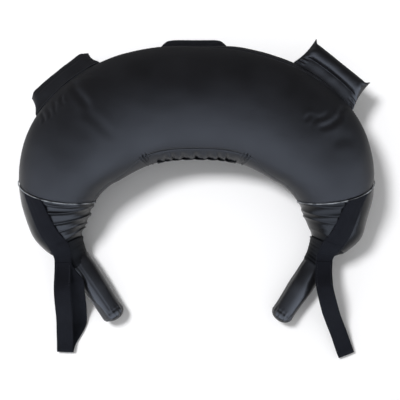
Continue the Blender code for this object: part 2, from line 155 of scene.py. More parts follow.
# The handles, which run straight on from the necks
HANDLE_ANGLE = math.radians(33.5)
HANDLE_DIP = 0.0035
HANDLE_TIP_SHARE = 0.80
HANDLE_OPENING = 0.0090
HANDLE_SHIFT = {-1: -0.0050, 1: 0.0008}

# The webbing loops: the upper ply's middle line on the floor plane, from its root to its fold, left and right
LOOP_REST_TILT = math.radians(6)
LOOP_LEVEL_SHARE = 0.30
LOOP_ROOT_HEIGHT = 0.0600
LOOP_SPREAD = 0.030
LOOP_REST_HEIGHT = 0.0040
LOOP_FOLD_RADIUS = 0.0042
LOOP_SPLAY = {-1: 0.0245, 1: -0.003}
LOOP_LENGTH = 0.176
LOOP_LINE = {
    -1: ((-0.2674, -0.3168), (-0.2665, -0.3624), (-0.2660, -0.4124), (-0.2684, -0.4606), (-0.2700, -0.5044)),
    1: ((0.2554, -0.3148), (0.2536, -0.3608), (0.2681, -0.4134), (0.2888, -0.4626), (0.3077, -0.5108)),
}

# The crown's webbing handle
TOP_HALF_RUN = 0.0715
TOP_RISE_SHARE = 0.36
TOP_SHIFT = -0.004
TOP_WIDEN_SHARE = 0.5
TOP_END_WIDTH = 0.010
TOP_ROOT_ANGLE = math.radians(-28)
TOP_ROOT_LIFT = 0.0043
TOP_RISE = 0.0210
TOP_TILT = math.radians(33)

# The shoulder grips
GRIP_RUN = 0.202
GRIP_HALF_LENGTH = 0.069
GRIP_ROOT_HALF_RUN = 0.053
GRIP_STAND = 0.0525
GRIP_ROLL_RADIUS = 0.0180
GRIP_ROOT_LIFT = 0.0026
GRIP_TAIL_PAST = 0.0017
GRIP_TILT = {-1: math.radians(-61), 1: math.radians(-12)}
GRIP_JOIN = {-1: math.radians(128), 1: math.radians(158)}
GRIP_LONGER = {-1: 0.0085, 1: 0.0}
GRIP_FOLD = {-1: 0.0005, 1: 0.0014}
GRIP_ROUGHNESS = {-1: (0.48, 0.60), 1: (0.26, 0.36)}
GRIP_COAT = {-1: 0.0, 1: 0.3}
GRIP_EAR = 0.0074
GRIP_WAIST = 0.0035

# The studio: the camera, the width of its view at a distance, the lamp, the room's light and the floor
CAMERA_PLACE = (0.00692, -0.19276, 1.985)
VIEW_DISTANCE = 1.9
VIEW_WIDTH = 0.7908
LAMP_PLACE = (-2.3, 1.7, 5.2)
LAMP_TARGET = (0, -0.15, 0.05)
LAMP_SIZE = 1.5
LAMP_WATTS = 298
ROOM_LIGHT = 0.47
REFLECTED_DARK = (0.04, 0.038, 0.038, 1)
REFLECTED_BRIGHT = (2.8, 3.15, 3.85, 1)
REFLECTED_FLOOR = (0.12, 0.12, 0.12, 1)
FLOOR_RADIUS = 6
FLOOR_DROP = 0.0005

SIDES = ((-1, "left"), (1, "right"))

# Folds of each sleeve: place along it beside the strap and on the arch side, half width, and strength
SLEEVE_FOLDS = {
    -1: (
        (0.04, 0.09, 0.036, 0.9),
        (0.24, 0.12, 0.034, 1.3),
        (0.46, 0.32, 0.036, 1.3),
        (0.62, 0.50, 0.026, 1.0),
        (0.83, 0.66, 0.032, 1.2),
        (0.97, 0.84, 0.024, 0.8),
    ),
    1: (
        (0.08, 0.05, 0.045, 1.2),
        (0.27, 0.22, 0.040, 1.2),
        (0.44, 0.36, 0.035, 0.9),
        (0.72, 0.66, 0.060, 0.5),
    ),
}

# Creases that the filling draws in the front panel, on the floor plane: from a point to a point, then half
# width and depth
CREASES = (
    (-0.238, 0.030, -0.206, -0.018, 0.0085, 0.0034),
    (-0.212, -0.024, -0.158, -0.070, 0.0100, 0.0012),
    (-0.244, 0.036, -0.220, 0.026, 0.0045, 0.0018),
    (-0.262, 0.006, -0.254, -0.010, 0.0040, 0.0024),
    (-0.297, -0.026, -0.292, -0.044, 0.0036, 0.0024),
    (-0.288, -0.016, -0.278, -0.034, 0.0040, 0.0020),
    (-0.276, -0.004, -0.268, -0.024, 0.0036, 0.0018),
    (-0.212, 0.050, -0.176, 0.044, 0.0060, 0.0012),
    (0.222, -0.044, 0.250, -0.030, 0.0060, 0.0020),
    (0.238, -0.056, 0.276, -0.036, 0.0070, 0.0026),
    (0.272, -0.036, 0.284, -0.012, 0.0060, 0.0020),
    (0.206, -0.040, 0.226, -0.030, 0.0055, 0.0014),
    (0.262, -0.078, 0.300, -0.076, 0.0120, 0.0012),
)

# Pleats past the ends of the filling slot: run along the spine, lean, and depth
PLEATS = (
    (-0.140, 0.25, 0.0034),
    (-0.130, 0.10, 0.0028),
    (-0.151, 0.40, 0.0020),
    (0.131, -0.20, 0.0032),
    (0.141, -0.40, 0.0026),
    (0.121, -0.10, 0.0016),
)


def curve_through(before, here, there, after, share):
    """A point between two rows of values, on the smooth curve that runs through the rows around them."""
    t = share
    return [
        (2 * q + (r - p) * t + (2 * p - 5 * q + 4 * r - s) * t**2 + (3 * q - p - 3 * r + s) * t**3) / 2
        for p, q, r, s in zip(before, here, there, after)
    ]


def smooth(share):
    """0 to 1 with level ends."""
    share = min(max(share, 0.0), 1.0)
    return share * share * (3 - 2 * share)


def read_spine():
    """Rows of run, values and way along the crescent, on a smooth curve through the shares."""
    scales = (HALF_SPAN, -HORN_DROP, CROWN_HALF_WIDTH, CROWN_HALF_DEPTH, NECK_LIFT)
    knots = [[share * scale for share, scale in zip(row, scales)] for row in SPINE_SHARES]
    before = [-knots[1][0]] + knots[1][1:]
    after = [2 * last - previous for last, previous in zip(knots[-1], knots[-2])]
    line = [before] + knots + [after]
    rows = []
    for four in zip(line, line[1:], line[2:], line[3:]):
        rows += [curve_through(*four, step / ROWS_BETWEEN_SHARES) for step in range(ROWS_BETWEEN_SHARES)]
    rows.append(knots[-1])
    runs = [0.0]
    for previous, row in zip(rows, rows[1:]):
        runs.append(runs[-1] + math.dist(previous[:2], row[:2]))
    ways = []
    for at in range(len(rows)):
        back = rows[at - 1] if at else [-rows[1][0], rows[1][1]]
        forth = rows[min(at + 1, len(rows) - 1)]
        ways.append(Vector((forth[0] - back[0], forth[1] - back[1])).normalized())
    return runs, rows, ways


RUNS, ROWS, WAYS = read_spine()
SPINE_LENGTH = RUNS[-1]
PIVOT_RUN = RUNS[-1 - ROWS_BETWEEN_SHARES]


def between(runs, run):
    """Which of the rising runs comes before a run, and the share of the way to the next."""
    index = min(max(bisect.bisect_right(runs, run) - 1, 0), len(runs) - 2)
    return index, (run - runs[index]) / (runs[index + 1] - runs[index])


def section(run):
    """The section at a run along the spine: its centre, the way out from the arch, half sizes and lift."""
    side = -1 if run < 0 else 1
    index, share = between(RUNS, min(abs(run), SPINE_LENGTH))
    x, y, half_width, half_depth, lift = (a + (b - a) * share for a, b in zip(ROWS[index], ROWS[index + 1]))
    way = WAYS[index].lerp(WAYS[index + 1], share).normalized()
    return Vector((side * x, y, 0)), Vector((-side * way.y, way.x, 0)), half_width, half_depth, lift


def bag_point(run, angle, grow=0.0, floor=0.0):
    """A point on the bag: run goes along the spine, angle round the section, and grow moves it out."""
    centre, out, half_width, half_depth, lift = section(run)
    sag = 1 + (SAG_SHARE - 1) * (1 - lift / NECK_LIFT)
    rise = math.sin(angle) * (sag if math.sin(angle) < 0 else 1)
    place = centre + out * ((half_width + grow) * math.cos(angle))
    place.z = max(floor, lift + half_depth + (half_depth + grow) * rise)
    return place


def girth_rate(run, angle):
    """How many metres round the section one radian is."""
    _, _, half_width, half_depth, _ = section(run)
    return math.hypot(half_width * math.sin(angle), half_depth * math.cos(angle))


def front_edge(run):
    """Where the front panel meets the outer gusset, round the section at a run along the spine."""
    return ROLL * smooth(1 - abs(run - ROLL_RUN) / ROLL_REACH)


def inner_edge(run):
    """Where the front panel meets the inner gusset, round the section at a run along the spine."""
    return INNER_EDGE + INNER_DROP * smooth((abs(run) - INNER_DROP_RUN) / INNER_DROP_REACH)


def hem_at(angle):
    """The hem's run along the spine at an angle round the section."""
    return HEM_RUN + HEM_LEAN * (1 - math.cos(angle)) / 2 + HEM_BOW * abs(math.sin(angle))


def horn(side):
    """A horn's pivot and the way its handle runs."""
    way = Vector((-side * math.sin(HANDLE_ANGLE), -math.cos(HANDLE_ANGLE), 0))
    centre, _, _, half_depth, lift = section(side * PIVOT_RUN)
    return centre + Vector((0, 0, half_depth + lift)), way


def ripple(place, size, seed):
    """Even, smooth noise from -1 to 1 with lumps of a size, different for each seed."""
    return noise.noise(place / size + Vector((seed * 7.3, seed * 3.1, seed * 1.7)))


def bell(distance, width):
    """1 at no distance, falling smoothly to 0 a few widths away."""
    return math.exp(-((distance / width) ** 2))


# Sizes and colours that a user would change


def linear(hex_colour):
    """An sRGB hex colour as linear RGB."""
    channels = [int(hex_colour[i : i + 2], 16) / 255 for i in (1, 3, 5)]
    return [c / 12.92 if c <= 0.04045 else ((c + 0.055) / 1.055) ** 2.4 for c in channels]


def length_property(name, description, default):
    return bpy.props.FloatProperty(name=name, description=description, default=default, min=0, unit="LENGTH")


def colour_property(name, description, hex_colour):
    return bpy.props.FloatVectorProperty(
        name=name, description=description, default=linear(hex_colour), subtype="COLOR", min=0, max=1
    )


class BagSizes(bpy.types.PropertyGroup):
    """Sizes of the bag's sheet goods, seams and gathers."""

    leather: length_property("Leather", "Thickness of the leather", 0.0016)
    webbing: length_property("Webbing", "Thickness of the webbing", 0.0024)
    webbing_width: length_property("Webbing width", "Width of the hand loops", 0.0335)
    strap_width: length_property("Strap width", "Width of the straps down the horns", 0.0375)
    crown_width: length_property("Crown handle width", "Width of the crown handle's webbing", 0.0355)
    piping: length_property("Piping", "Radius of the cord in the hem", 0.0011)
    seam_dip: length_property("Seam dip", "How far the leather turns down into a seam", 0.0022)
    pucker: length_property("Pucker", "Depth of the gathers along a seam", 0.0005)
    swell: length_property("Swell", "Height of the filling's lumps under the leather", 0.0016)
    left_fold: length_property("Left folds", "Depth of the folds at the left neck", 0.0052)
    right_fold: length_property("Right folds", "Depth of the folds at the right neck", 0.0038)
    handle_radius: length_property("Handle radius", "Radius of the horn handles near their tips", 0.0222)
    handle_length: length_property("Handle length", "Length of the horn handles past the neck", 0.142)
    loop_length: length_property("Loop length", "Length of the hand loops", 0.176)
    stitch: length_property("Stitch", "Length of one stitch", 0.0032)
    stitch_pitch: length_property("Stitch pitch", "Distance between the starts of two stitches", 0.0048)
    thread: length_property("Thread", "Radius of the thread", 0.0004)


class BagColours(bpy.types.PropertyGroup):
    """Colours of the bag's materials."""

    leather: colour_property("Leather", "Colour of the cover", "#151517")
    leather_worn: colour_property("Worn leather", "Colour where the leather is rubbed", "#232427")
    # The hem's light grey is a painted highlight along the cord.
    edge: colour_property("Painted hem highlight", "Colour of the painted highlight along the hem's cord", "#8e9296")
    webbing: colour_property("Webbing", "Colour of the straps", "#0b0b0e")
    webbing_light: colour_property("Light webbing", "Colour of the webbing's raised threads", "#16171c")
    thread: colour_property("Thread", "Colour of the stitches", "#1d1d20")
    canvas: colour_property("Canvas", "Colour of the liner", "#b9ab8c")
    sand: colour_property("Sand pouch", "Colour of the sand pouches", "#a08a62")
    wool: colour_property("Wool", "Colour of the wool packing", "#cfc6b4")
    foam: colour_property("Foam", "Colour of the handle cores", "#3a3a3c")
    floor: colour_property("Floor", "Colour of the studio floor", "#fafafa")


def sizes():
    return bpy.context.scene.bag_sizes


def colours():
    return bpy.context.scene.bag_colours


# Materials


def wire(tree, kind, *values, **named):
    """A node, its sockets filled in order, by Name or by _number, and its settings in lower case.

    A value can be a number, a socket, or a node, whose first output is then linked.
    """
    made = tree.nodes.new("ShaderNode" + kind)
    sockets = dict(enumerate(values))
    for key, value in named.items():
        if key.islower():
            setattr(made, key, value)
        else:
            sockets[int(key[1:]) if key[1:].isdigit() else key.replace("_", " ")] = value
    for key, value in sockets.items():
        value = value.outputs[0] if isinstance(value, bpy.types.Node) else value
        if isinstance(value, bpy.types.NodeSocket):
            tree.links.new(value, made.inputs[key])
        else:
            made.inputs[key].default_value = value
    return made


def start_material(name):
    """The named material, cleared for its nodes, and its node tree."""
    made = bpy.data.materials.get(name) or bpy.data.materials.new(name)
    made.use_nodes = True
    made.node_tree.nodes.clear()
    return made, made.node_tree


def finish_material(made, **inputs):
    """The material with its shader and output wired."""
    shader = wire(made.node_tree, "BsdfPrincipled", Metallic=0.0, **inputs)
    wire(made.node_tree, "OutputMaterial", Surface=shader)
    return made


def ramp(tree, factor, low, high, low_at=0.0, high_at=1.0):
    """A colour ramp between two linear colours."""
    made = wire(tree, "ValToRGB", factor)
    first, last = made.color_ramp.elements
    first.position, first.color = low_at, (*low, 1)
    last.position, last.color = high_at, (*high, 1)
    return made


def pu_leather(name="PU leather", roughness=(0.42, 0.54), shade=1.0, coat=0.0):
    """Polyurethane-coated leather, embossed by a roller: near black, satin, finely pebbled and creased.

    The pebble is 0.9 mm on the real sheet. It is drawn at 1.6 mm, the finest that shows in the render.
    """
    made, tree = start_material(name)
    place = wire(tree, "TexCoord").outputs["Object"]
    pebble = wire(tree, "TexVoronoi", feature="SMOOTH_F1", Vector=place, Scale=1 / (1.6 * MM))
    cloud = wire(tree, "TexNoise", Vector=place, Scale=1 / (70 * MM), Detail=3.0)
    crease = wire(
        tree, "TexNoise", noise_type="RIDGED_MULTIFRACTAL", Vector=place, Scale=1 / (26 * MM), Detail=4.0,
        Distortion=0.6,
    )
    rub = wire(tree, "MapRange", wire(tree, "NewGeometry").outputs["Pointiness"], 0.51, 0.60)
    # A shade below 1 darkens the colour and lowers the sheen: painted shade on the sleeves and the closure
    # strip, and the wraps are darkened the same way.
    dark, light, worn = (
        [c * share * shade for c in tint]
        for tint, share in ((colours().leather, 0.86), (colours().leather, 1.12), (colours().leather_worn, 1))
    )
    base = ramp(tree, cloud, dark, light, 0.3, 0.7)
    mixed = wire(tree, "Mix", data_type="RGBA", _0=rub, _6=base, _7=(*worn, 1))
    low = wire(tree, "Bump", Height=crease, Distance=0.0006, Strength=0.35)
    fine = wire(tree, "Bump", Height=pebble, Distance=0.00022, Strength=0.4, Normal=low)
    return finish_material(
        made, Base_Color=mixed.outputs[2], Roughness=wire(tree, "MapRange", cloud, 0.3, 0.7, *roughness),
        Normal=fine, IOR=1 + 0.36 * shade**0.5, Coat_Weight=coat, Coat_Roughness=0.25,
    )


def darkened_leather():
    """The same leather at 0.3 of its colour and duller. On the closure strip the darkness is painted shade;
    the wraps use it as well.
    """
    return pu_leather("PU leather, darkened", (0.50, 0.66), shade=0.30)


def leather_edge():
    """The cover's turned and rubbed edge over its cord: a thin line mottled between the worn colour and a
    light grey, which is a painted highlight along the cord.
    """
    made, tree = start_material("PU leather, turned edge")
    place = wire(tree, "TexCoord").outputs["Object"]
    rub = wire(tree, "TexNoise", Vector=place, Scale=1 / (14 * MM), Detail=3.0)
    # The light grey is a painted highlight along the cord; the worn colour between its patches is rubbed
    # leather.
    base = ramp(tree, rub, colours().leather_worn, colours().edge, 0.35, 0.6)
    bump = wire(tree, "Bump", Height=rub, Distance=0.0002, Strength=0.4)
    return finish_material(made, Base_Color=base, Roughness=0.4, Normal=bump, IOR=1.45)


def nylon_webbing():
    """Woven nylon strap: matt black, with a twill of diagonal ribs and a soft fuzz that shows at a low angle.

    The ribs are 1.1 mm apart on the real webbing. They are drawn 2 mm apart, as close as the render shows.
    """
    made, tree = start_material("Nylon webbing")
    along, across = wire(tree, "SeparateXYZ", wire(tree, "UVMap", uv_map="Lay")).outputs[:2]
    zigzag = wire(tree, "Math", across, 5.5 * MM, operation="PINGPONG")
    slant = wire(tree, "Math", along, zigzag, operation="ADD")
    turn = wire(tree, "Math", slant, FULL_TURN / (2 * MM), operation="MULTIPLY")
    rib = wire(tree, "Math", turn, operation="SINE")
    cross = wire(tree, "Math", across, FULL_TURN / (1.4 * MM), operation="MULTIPLY")
    warp = wire(tree, "Math", cross, operation="SINE")
    weave = wire(tree, "MapRange", wire(tree, "Math", warp, 0.35, rib, operation="MULTIPLY_ADD"), -1.3, 1.3)
    place = wire(tree, "TexCoord").outputs["Object"]
    cloud = wire(tree, "TexNoise", Vector=place, Scale=1 / (18 * MM), Detail=2.0)
    shade = wire(tree, "Math", weave, cloud, operation="MULTIPLY")
    base = ramp(tree, shade, colours().webbing, colours().webbing_light, 0.05, 0.6)
    bump = wire(tree, "Bump", Height=weave, Distance=0.0004, Strength=0.5)
    return finish_material(
        made, Base_Color=base, Roughness=0.8, Normal=bump, IOR=1.22, Sheen_Weight=0.02, Sheen_Roughness=0.4,
        Sheen_Tint=(0.7, 0.75, 0.9, 1),
    )


def bonded_thread():
    """Bonded polyester thread: black, round and slightly glossy, twisted."""
    made, tree = start_material("Bonded polyester thread")
    place = wire(tree, "TexCoord").outputs["Object"]
    twist = wire(tree, "TexWave", bands_direction="DIAGONAL", Vector=place, Scale=1 / (5 * MM))
    tint = colours().thread
    base = ramp(tree, twist, [c * 0.7 for c in tint], [c * 1.5 for c in tint])
    return finish_material(made, Base_Color=base, Roughness=0.5, IOR=1.54)


def rough_cloth(name, colour, lump, depth):
    """Undyed cloth or fibre inside the bag: matt, mottled and a little fuzzy."""
    made, tree = start_material(name)
    place = wire(tree, "TexCoord").outputs["Object"]
    mottle = wire(tree, "TexNoise", Vector=place, Scale=1 / lump, Detail=6.0)
    base = ramp(tree, mottle, [c * 0.7 for c in colour], [min(c * 1.2, 1) for c in colour], 0.3, 0.7)
    bump = wire(tree, "Bump", Height=mottle, Distance=depth, Strength=0.6)
    return finish_material(made, Base_Color=base, Roughness=0.9, Normal=bump, IOR=1.45, Sheen_Weight=0.2)


# Laying pieces on the bag


def laid(name, steps, place, closed=False, flip=False, lay=None):
    """An object from a grid of so many steps along and across, each point put where place says.

    lay gives each point's place on the flat sheet, in metres, which goes into the UV map that a weave reads.
    """
    bm = bmesh.new()
    bmesh.ops.create_grid(bm, x_segments=steps[0], y_segments=steps[1], size=0.5)
    flat = bm.loops.layers.uv.new("Lay")
    for face in bm.faces:
        for loop in face.loops:
            along, across = loop.vert.co.x + 0.5, loop.vert.co.y + 0.5
            loop[flat].uv = lay(along, across) if lay else (along, across)
    for vert in bm.verts:
        vert.co = place(vert.co.x + 0.5, vert.co.y + 0.5)
    if closed:
        bmesh.ops.remove_doubles(bm, verts=bm.verts, dist=MM / 50)
    if flip:
        bmesh.ops.reverse_faces(bm, faces=bm.faces)
    return made_from(name, bm)


def made_from(name, bm):
    """The bmesh as a smooth-shaded object in the scene."""
    mesh = bpy.data.meshes.new(name)
    bm.to_mesh(mesh)
    bm.free()
    mesh.shade_smooth()
    made = bpy.data.objects.new(name, mesh)
    bpy.context.scene.collection.objects.link(made)
    return made


def close_holes(made):
    """Fill a piece's open ends, and turn every face outwards."""
    bm = bmesh.new()
    bm.from_mesh(made.data)
    bmesh.ops.holes_fill(bm, edges=[edge for edge in bm.edges if edge.is_boundary], sides=0)
    bmesh.ops.recalc_face_normals(bm, faces=bm.faces)
    bm.to_mesh(made.data)
    bm.free()


def thicken(made, wall, offset=-1.0):
    """Gives a surface its sheet's thickness, behind it, or half on each side at offset 0."""
    thick = made.modifiers.new("Sheet", "SOLIDIFY")
    thick.thickness = wall
    thick.offset = offset


def dress(made, material, slot, body, *nodes):
    """Gives a piece its material, lets it ride on its body when it has one, and hides the solids it stands
    for. The slot is not used.
    """
    made.data.materials.append(material)
    if nodes:
        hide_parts(*nodes)
    if body:
        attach(made, body)
    return made


def swing_bend(made, side, name):
    """Bakes a piece above the neck in place and works out the stretch before the pivot meant for the handle's
    swing.
    """
    pivot, way = horn(side)
    start, end = pivot - way * SWING_START, pivot - way * FLEX_START
    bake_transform(made)
    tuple(start)
    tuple(end)


def flex_bend(made, side, name):
    """Bakes a piece on the neck in place and works out the stretch before the pivot meant for the handle's
    flex.
    """
    pivot, way = horn(side)
    start, end = pivot - way * FLEX_START, pivot - way * FLEX_END
    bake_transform(made)
    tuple(start)
    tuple(end)


def stitch_row(name, points, body):
    """A row of stitches through (place, normal) points, each sunk a little into the sheet at both ends."""
    size = sizes()
    bm = bmesh.new()
    runs = [0.0]
    for (a, _), (b, _) in zip(points, points[1:]):
        runs.append(runs[-1] + (b - a).length)

    def at(run):
        index, share = between(runs, run)
        return [a.lerp(b, share) for a, b in zip(points[index], points[index + 1])]

    count = max(1, int((runs[-1] - size.stitch) / size.stitch_pitch) + 1)
    for number in range(count):
        start, end = number * size.stitch_pitch, number * size.stitch_pitch + size.stitch
        (a, up), (b, _) = at(start), at(end)
        way = (b - a).normalized()
        up = (up - way * up.dot(way)).normalized()
        turn = Matrix((way, up.cross(way), up)).transposed().to_4x4()
        centre = Matrix.Translation((a + b) / 2 + up * size.thread * 0.3)
        scale = Matrix.Diagonal((size.stitch / 2, size.thread, size.thread, 1))
        bmesh.ops.create_icosphere(bm, subdivisions=1, radius=1, matrix=centre @ turn @ scale)
    return dress(made_from(name, bm), bonded_thread(), "webbing", body)


# The cover


def seam_relief(run, to_seam, seed):
    """The leather's height near a seam: it turns down into the seam, and the thread gathers it a little."""
    size = sizes()
    place = Vector((run, 0, seed))
    pitch = 0.0085 * (1 + 0.25 * ripple(place, 0.05, seed + 4))
    gather = math.sin(FULL_TURN * run / pitch + 4 * ripple(place, 0.03, seed))
    gather *= size.pucker * math.exp(-to_seam / 0.009) * (0.5 + 0.5 * ripple(place, 0.06, seed + 9))
    return gather - size.seam_dip * bell(to_seam, 0.0026)


def crease_relief(place):
    """The front panel's creases: each a valley with a softer ridge on both sides, faded at its ends."""
    height = 0.0
    for x0, y0, x1, y1, width, depth in CREASES:
        dx, dy = x1 - x0, y1 - y0
        length = math.hypot(dx, dy)
        along = ((place.x - x0) * dx + (place.y - y0) * dy) / length**2
        if not -0.25 < along < 1.25:
            continue
        off = ((place.x - x0) * dy - (place.y - y0) * dx) / length
        if abs(off) > width * 5:
            continue
        off += 0.0015 * math.sin(along * 5 + x0 * 90)
        fade = smooth((along + 0.25) / 0.4) * smooth((1.25 - along) / 0.5)
        q = off / width
        height += 0.7 * depth * fade * (0.55 * math.exp(-((abs(q) - 1.5) ** 2)) - math.exp(-(q**2)))
    return height


def scallop(run, shift=0.0):
    """How far the elastic lets the arch's edge bulge between two gathers: 0 at a gather, 1 half way."""
    wander = 0.05 * ripple(Vector((run * 3, 0, 0)), 0.4, 5)
    return abs(math.sin(math.pi * (SCALLOPS * (run / CLOSURE_HALF_LENGTH + 1) / 2 + wander + shift))) ** 0.8


def slot_relief(run, angle):
    """The band above the filling slot, drawn in by elastic: fine folds along it, and pleats past its ends."""
    inner = inner_edge(run)
    over = (angle - inner) * girth_rate(run, angle)
    if abs(run) > 0.17 or not -0.012 < over < 0.045:
        return 0.0
    middle = smooth(1 - (abs(run) - 0.075) / 0.03)
    flat = Vector((run, 0, 0))
    rows = 0.00035 * math.sin(FULL_TURN * over / 0.0052 + 3 * ripple(flat, 0.04, 8)) if over > 0 else 0
    gather = 0.0007 * math.sin(FULL_TURN * run / 0.0135 + 2 * ripple(flat, 0.03, 12))
    height = middle * smooth((over + 0.002) / 0.006) * (rows + gather * smooth(over / 0.02))
    height += middle * smooth((over - 0.006) / 0.016) * 0.0044 * (scallop(run) - 0.55)
    for at, lean, deep in PLEATS:
        off = run - at - lean * over
        fold = 0.6 * bell(abs(off) - 0.0045, 0.0028) - bell(off, 0.0024)
        height += deep * fold * smooth((over + 0.010) / 0.012)
    return height


def cover_relief(run, angle, to_seam, name):
    """How far the filled cover stands off its even form."""
    place = bag_point(run, angle)
    free = smooth(to_seam / 0.03)
    height = sizes().swell * free * (ripple(place, 0.085, 1) + 0.45 * ripple(place, 0.038, 2))
    arch_side = name in ("front_panel", "inner_gusset") and angle > 1.9
    soft = 0.30 - 0.22 * smooth((abs(run) - 0.09) / 0.04) if arch_side else 1.0
    height += seam_relief(run, to_seam, len(name)) * soft
    if name == "front_panel":
        height += crease_relief(place)
    if name in ("front_panel", "inner_gusset"):
        height += slot_relief(run, angle)
    return min(height, RELIEF_CAP)


def panel_edges(name, run):
    """A panel's two angles round the section at a run along the spine."""
    outer, inner = front_edge(run), inner_edge(run)
    return {
        "front_panel": (outer, inner),
        "inner_gusset": (inner, FULL_TURN - inner),
        "back_panel": (FULL_TURN - inner, FULL_TURN + outer - OUTER_SWEEP),
        "outer_gusset": (outer - OUTER_SWEEP, outer),
    }[name]


def cover_panel(name, steps):
    """A panel of the cover from hem to hem, with its edges turned down into the seams."""

    def place(along, across):
        near = (2 * along - 1) * HEM_RUN
        from_angle, to_angle = panel_edges(name, near)
        angle = from_angle + (to_angle - from_angle) * across
        rate = girth_rate(near, angle)
        angle += HALF_SEAM_GAP / rate * ((across == 0) - (across == 1))
        run = (2 * along - 1) * (hem_at(angle) - HALF_SEAM_GAP)
        to_edge = min(across, 1 - across) * (to_angle - from_angle) * rate
        to_hem = min(along, 1 - along) * 2 * HEM_RUN
        grow = cover_relief(run, angle, min(to_edge, to_hem * 1.5), name)
        return bag_point(run, angle, grow=grow)

    made = laid("cover_" + name, steps, place, flip=True)
    thicken(made, sizes().leather)
    dress(made, pu_leather(), "leather", "bag", name)


class BAG_OT_cover(bpy.types.Operator):
    """Make the cover's front and back panels and its two gussets"""

    bl_idname = "bag.cover"
    bl_label = "Cover"

    def execute(self, context):
        cover_panel("front_panel", (320, 120))
        cover_panel("inner_gusset", (260, 44))
        cover_panel("back_panel", (200, 60))
        cover_panel("outer_gusset", (280, 44))
        return {"FINISHED"}


class BAG_OT_closure(bpy.types.Operator):
    """Make the gathered strip that closes the filling slot under the arch"""

    bl_idname = "bag.closure"
    bl_label = "Closure strip"

    def execute(self, context):
        size = sizes()

        def place(along, across):
            cusp = scallop((2 * along - 1) * CLOSURE_HALF_LENGTH, 0.18)
            edge = (math.radians(3.5) * cusp + math.radians(7) * (2 * along - 1) ** 4) * (1 - across)
            angle = CLOSURE_FRONT - edge + (CLOSURE_BACK - CLOSURE_FRONT) * across
            near_front = math.exp(-across / 0.28)
            wander = 0.3 * ripple(Vector((along, 0, 0)), 0.1, 3)
            pleat = 0.3 * math.sin(FULL_TURN * (SCALLOPS * 2 * along + wander))
            bulge = near_front * (0.0036 * cusp + 0.0006 * pleat - 0.0012)
            grow = size.leather + 0.0004 + bulge - 0.0008 * bell(across, 0.05)
            return bag_point((2 * along - 1) * CLOSURE_HALF_LENGTH, angle, grow=grow)

        made = laid("closure_strip_gathered", (256, 16), place, flip=True)
        thicken(made, size.leather)
        # The darkened leather on this strip is painted shade between it and the front panel's edge.
        dress(made, darkened_leather(), "leather", "bag", "closure_strip")
        return {"FINISHED"}


class BothSides:
    """What the operators share that make the same piece on the left and on the right."""

    def execute(self, context):
        for side, name in SIDES:
            self.make(side, name)
        return {"FINISHED"}


class BAG_OT_end_panels(BothSides, bpy.types.Operator):
    """Make the gathered leather sleeve of each horn"""

    bl_idname = "bag.end_panels"
    bl_label = "End panels"
    def make(self, side, name):
        size = sizes()
        depth = size.left_fold if side < 0 else size.right_fold

        def relief(along, angle, place):
            """Folds that fan out from the arch side and end unevenly beside the strap."""
            turn = (angle + 0.5) % FULL_TURN - 0.5
            share = (turn - STRAP_HEM_ANGLE[side]) / (math.pi - STRAP_HEM_ANGLE[side])
            height = 0.0
            for number, (start, end, width, strength) in enumerate(SLEEVE_FOLDS[side]):
                sway = 0.03 * ripple(Vector((share * 0.5, number, 0)), 0.25, number)
                middle = start + (end - start) * smooth(share) + sway
                lively = 0.65 + 0.7 * ripple(Vector((share, number * 3, 0)), 0.5, number + 5)
                height += strength * lively * math.exp(-(abs((along - middle) / width) ** 1.5))
            front = smooth((share + 0.02) / 0.22) * smooth((1.35 - share) / 0.4)
            fade = smooth(along / 0.05) * smooth((1 - along) / 0.05)
            behind = 0.15 * math.sin(FULL_TURN * (4 * along + 0.4 * math.sin(angle)))
            behind *= smooth((turn - 3.4) / 0.5)
            calm = 0.0005 * ripple(place, 0.024, 6)
            height = (height - 0.45) * front + behind * smooth((5.4 - turn) / 0.6)
            return min(max(fade * (depth * height + calm), FOLD_FLOOR), FOLD_CAP)

        def place(along, across):
            angle = FULL_TURN * across
            start = hem_at(angle) + 0.0004
            run = start + (SLEEVE_END - start) * along
            dip = -size.seam_dip * 0.6 * bell(along * (SLEEVE_END - start), 0.0022)
            here = bag_point(side * run, angle)
            trim = neck_trim(side, run, angle)
            return bag_point(side * run, angle, grow=relief(along, angle, here) + dip + trim)

        made = laid(name + "_sleeve", (150, 170), place, closed=True, flip=side > 0)
        thicken(made, size.leather)
        # The sleeves are the cover's leather at half its colour on the left and 0.36 of it on the right, with
        # less coat: painted shade, deeper on the right sleeve.
        shade = 0.50 if side < 0 else 0.36
        coat = 0.22 if side < 0 else 0.12
        gathered = pu_leather(f"PU leather, gathered, {name}", (0.24, 0.36), shade=shade, coat=coat)
        dress(made, gathered, "leather", None, name + "_end_panel")
        swing_bend(made, side, name)


class BAG_OT_hems(BothSides, bpy.types.Operator):
    """Make the piped hem between the cover and each horn"""

    bl_idname = "bag.hems"
    bl_label = "Hems"

    def make(self, side, name):
        radius = sizes().piping

        def rim(angle, grow=radius + 0.0002):
            return bag_point(side * hem_at(angle), angle, grow=grow)

        def place(along, across):
            angle = HEM_END + (math.pi - 2 * HEM_END) * along
            middle = rim(angle)
            way = (rim(angle + 0.01) - middle).normalized()
            off = rim(angle, 0.01) - middle
            off = (off - way * off.dot(way)).normalized()
            turn = FULL_TURN * across
            ends = math.sqrt(max(0.0, 1 - abs(2 * along - 1) ** 40))
            reach = radius * (1 + 0.05 * math.sin(along * 260)) * max(ends, 0.02)
            return middle + (off * math.cos(turn) + way.cross(off) * math.sin(turn)) * reach

        made = laid(name + "_hem_piping", (220, 10), place, closed=True)
        close_holes(made)
        dress(made, leather_edge(), "piping", "bag", name + "_hem")


# Straps, wraps, handles and loops


